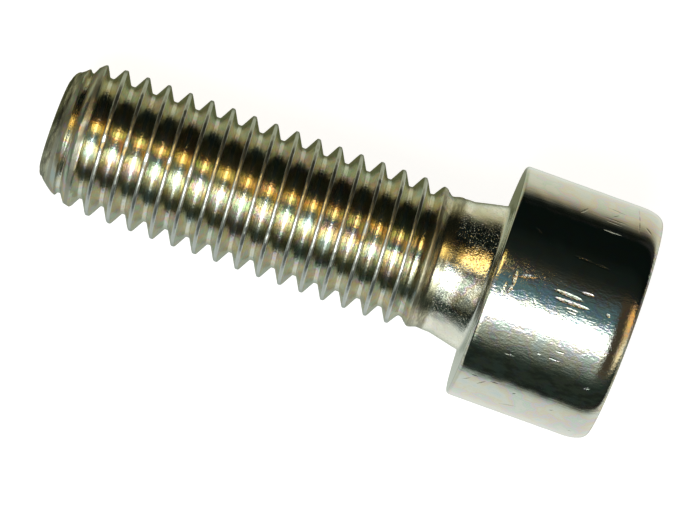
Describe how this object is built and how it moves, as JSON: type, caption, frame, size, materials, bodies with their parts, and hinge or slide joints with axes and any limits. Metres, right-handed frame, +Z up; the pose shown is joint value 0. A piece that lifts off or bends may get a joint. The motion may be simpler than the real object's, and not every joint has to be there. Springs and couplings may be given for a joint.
{
  "type": "hex socket cap screw",
  "caption": "Zinc-plated machine screw with a plain cylindrical head, a hex socket, a flared neck and a rolled right-hand thread; it lies at rest on its head rim and thread.",
  "frame": {"origin": "centre of the bearing face under the head, on the screw's axis", "axes": "+X along the length, towards the head, in the floor's plane; +Z up from the floor that the screw lies on; the screw's own axis rises from +X by 6.43 degrees"},
  "size_m": [0.0409, 0.016, 0.0169],
  "materials": {
    "zinc_plated_steel": "bright zinc plating with a faint yellow, green and pink iridescence, scratched on the head and nicked along the crests"
  },
  "bodies": {
    "root": {"cap_screw": "zinc_plated_steel"}
  },
  "joints": []
}
